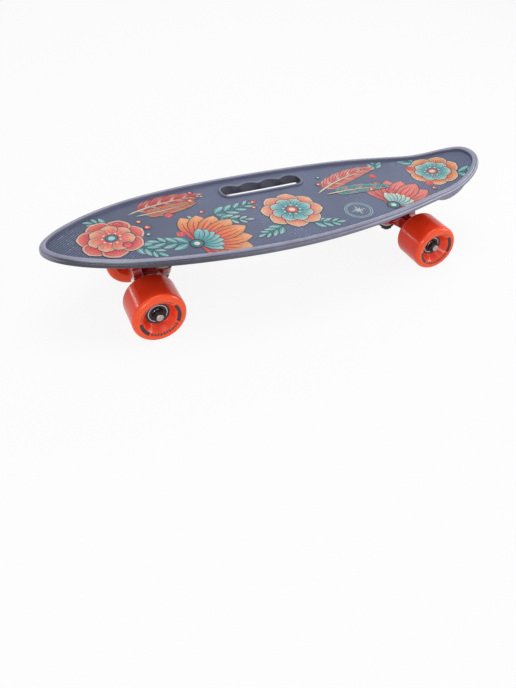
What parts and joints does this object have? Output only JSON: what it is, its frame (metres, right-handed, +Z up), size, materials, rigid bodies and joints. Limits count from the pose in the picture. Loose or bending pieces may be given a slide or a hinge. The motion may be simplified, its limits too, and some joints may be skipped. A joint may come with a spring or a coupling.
{
  "type": "cruiser skateboard",
  "caption": "Short moulded cruiser skateboard with a raised rim, kicked tail, scalloped hand slot, sprung steering trucks and wide soft wheels on bearings.",
  "frame": {"origin": "on the ground under the middle of the board's box", "axes": "+X from nose to tail, +Y to the side with the hand slot, +Z up"},
  "size_m": [0.564, 0.1674, 0.1189],
  "materials": {
    "deck": "satin moulded plastic with a fine diagonal grip texture",
    "truck": "gloss deep red paint on cast aluminium",
    "wheel": "gloss cast urethane",
    "bushing": "semi-gloss cream urethane",
    "pivot_cup": "matt",
    "steel": "zinc plated",
    "black_steel": "black oxide",
    "bolt": "red coated heads"
  },
  "bodies": {
    "board": {"deck": "deck", "front_baseplate": "truck", "front_pivot_cup": "pivot_cup", "front_kingpin": "steel", "front_kingpin_nut": "black_steel", "front_lower_cup_washer": "black_steel", "front_upper_cup_washer": "steel", "front_lower_bushing": "bushing", "front_upper_bushing": "bushing", "rear_baseplate": "truck", "rear_pivot_cup": "pivot_cup", "rear_kingpin": "steel", "rear_kingpin_nut": "black_steel", "rear_lower_cup_washer": "black_steel", "rear_upper_cup_washer": "steel", "rear_lower_bushing": "bushing", "rear_upper_bushing": "bushing", "front_fore_left_bolt": "bolt", "front_fore_right_bolt": "bolt", "front_aft_left_bolt": "bolt", "front_aft_right_bolt": "bolt", "rear_fore_left_bolt": "bolt", "rear_fore_right_bolt": "bolt", "rear_aft_left_bolt": "bolt", "rear_aft_right_bolt": "bolt", "front_fore_left_nut": "black_steel", "front_fore_right_nut": "black_steel", "front_aft_left_nut": "black_steel", "front_aft_right_nut": "black_steel", "rear_fore_left_nut": "black_steel", "rear_fore_right_nut": "black_steel", "rear_aft_left_nut": "black_steel", "rear_aft_right_nut": "black_steel"},
    "front_hanger_group": {"front_hanger": "truck", "front_axle": "steel", "front_left_bearing_sleeve": "steel", "front_left_axle_nut": "black_steel", "front_right_bearing_sleeve": "steel", "front_right_axle_nut": "black_steel"},
    "rear_hanger_group": {"rear_hanger": "truck", "rear_axle": "steel", "rear_left_bearing_sleeve": "steel", "rear_left_axle_nut": "black_steel", "rear_right_bearing_sleeve": "steel", "rear_right_axle_nut": "black_steel"},
    "front_left_wheel_group": {"front_left_wheel": "wheel", "front_left_inner_bearing": "steel", "front_left_outer_bearing": "steel"},
    "front_right_wheel_group": {"front_right_wheel": "wheel", "front_right_inner_bearing": "steel", "front_right_outer_bearing": "steel"},
    "rear_left_wheel_group": {"rear_left_wheel": "wheel", "rear_left_inner_bearing": "steel", "rear_left_outer_bearing": "steel"},
    "rear_right_wheel_group": {"rear_right_wheel": "wheel", "rear_right_inner_bearing": "steel", "rear_right_outer_bearing": "steel"}
  },
  "joints": [
    {"name": "front_steer", "type": "hinge", "parent": "board", "child": "front_hanger_group", "pos_m": [-0.15389, 0, 0.0393], "axis": [-0.8192, 0, 0.5736], "range_deg": [-15, 15], "stiffness_Nm_per_rad": 25, "deforming": ["front_lower_bushing", "front_upper_bushing"]},
    {"name": "rear_steer", "type": "hinge", "parent": "board", "child": "rear_hanger_group", "pos_m": [0.15771, 0, 0.0393], "axis": [0.8192, 0, 0.5736], "range_deg": [-15, 15], "stiffness_Nm_per_rad": 25, "deforming": ["rear_lower_bushing", "rear_upper_bushing"]},
    {"name": "front_left_spin", "type": "hinge", "parent": "front_hanger_group", "child": "front_left_wheel_group", "pos_m": [-0.17869, -0.05425, 0.03], "axis": [0, 1, 0], "continuous": true},
    {"name": "front_right_spin", "type": "hinge", "parent": "front_hanger_group", "child": "front_right_wheel_group", "pos_m": [-0.17869, 0.05425, 0.03], "axis": [0, 1, 0], "continuous": true},
    {"name": "rear_left_spin", "type": "hinge", "parent": "rear_hanger_group", "child": "rear_left_wheel_group", "pos_m": [0.18251, -0.05425, 0.03], "axis": [0, 1, 0], "continuous": true},
    {"name": "rear_right_spin", "type": "hinge", "parent": "rear_hanger_group", "child": "rear_right_wheel_group", "pos_m": [0.18251, 0.05425, 0.03], "axis": [0, 1, 0], "continuous": true}
  ]
}
